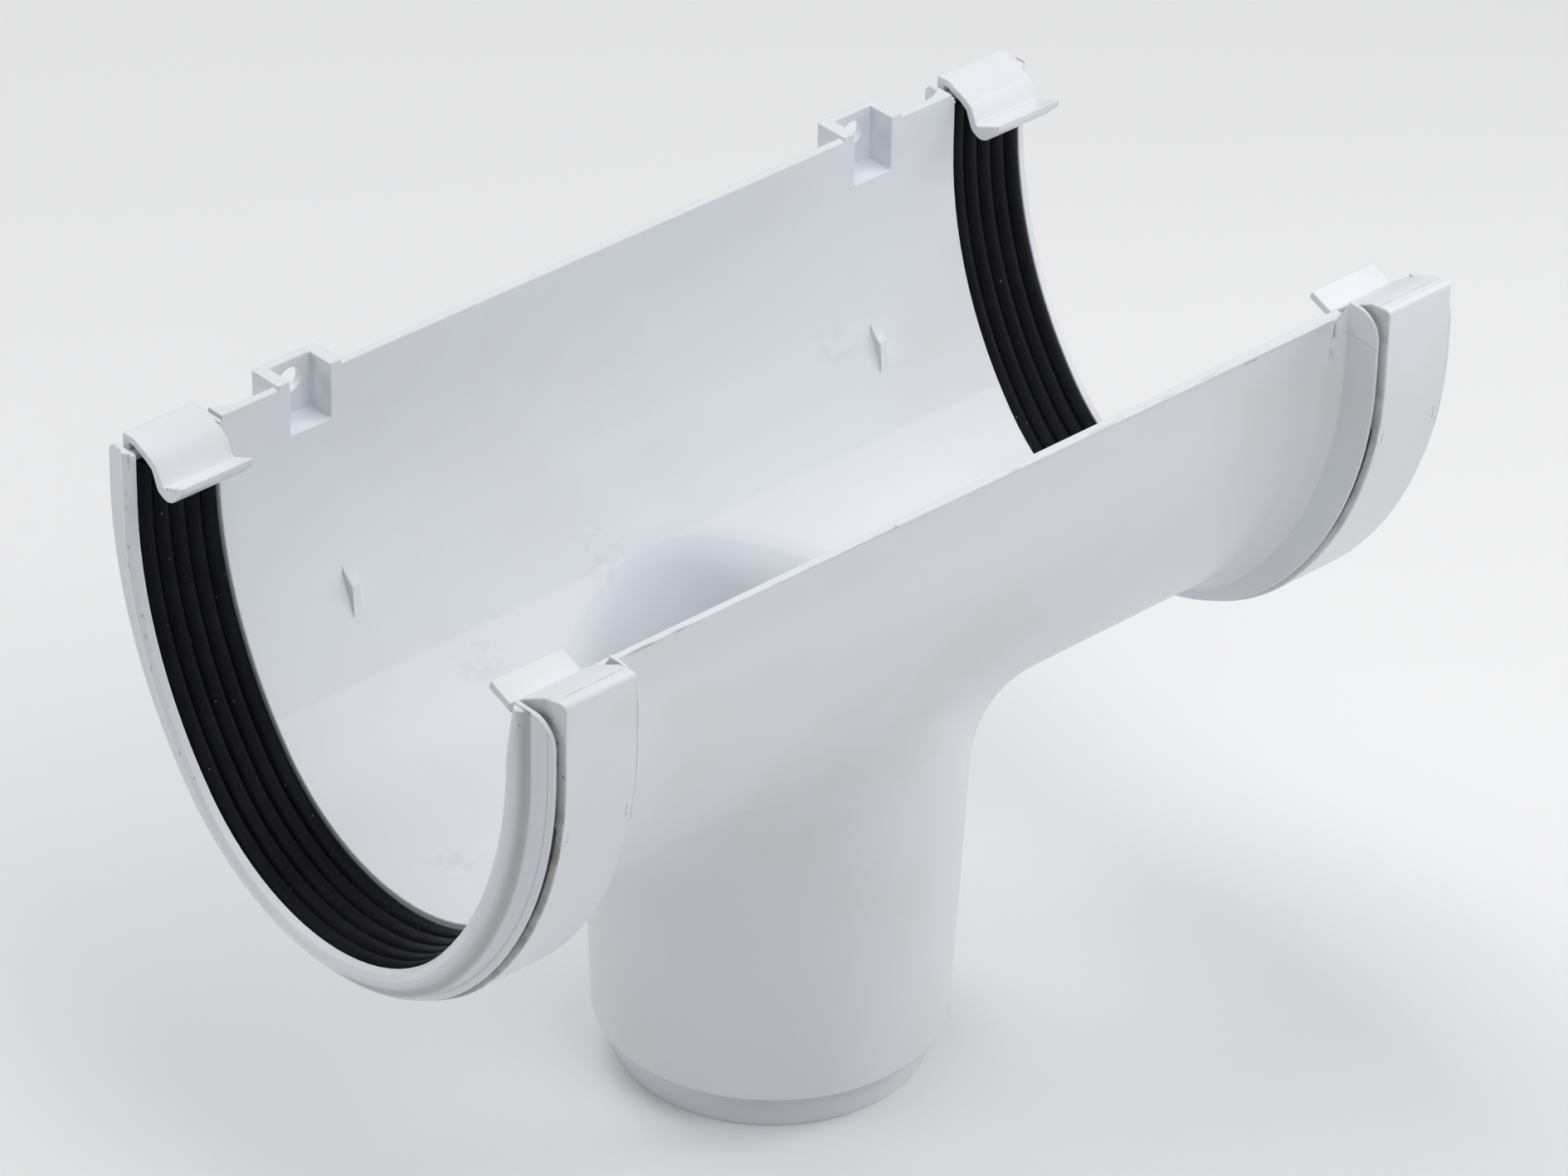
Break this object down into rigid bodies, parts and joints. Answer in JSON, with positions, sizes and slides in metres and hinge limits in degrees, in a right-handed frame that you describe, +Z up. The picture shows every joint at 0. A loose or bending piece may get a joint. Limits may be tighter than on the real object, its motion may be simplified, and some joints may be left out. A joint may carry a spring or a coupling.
{
  "type": "running gutter outlet",
  "caption": "Running outlet for a deep half-round gutter: a trough with a sealed snap-in socket at each end and a round spigot below for the downpipe.",
  "frame": {"origin": "middle of the spigot's lower rim, on which the outlet can stand", "axes": "+X along the gutter, +Y towards the wall behind it, +Z up"},
  "size_m": [0.2454, 0.1372, 0.1724],
  "materials": {
    "body_plastic": "white moulded plastic, glossy",
    "strap_plastic": "white moulded plastic, glossy",
    "seal_rubber": "black rubber, matte"
  },
  "bodies": {
    "root": {"outlet_body": "body_plastic", "seal_left": "seal_rubber", "seal_right": "seal_rubber", "strap_left": "strap_plastic", "strap_right": "strap_plastic"}
  },
  "joints": []
}
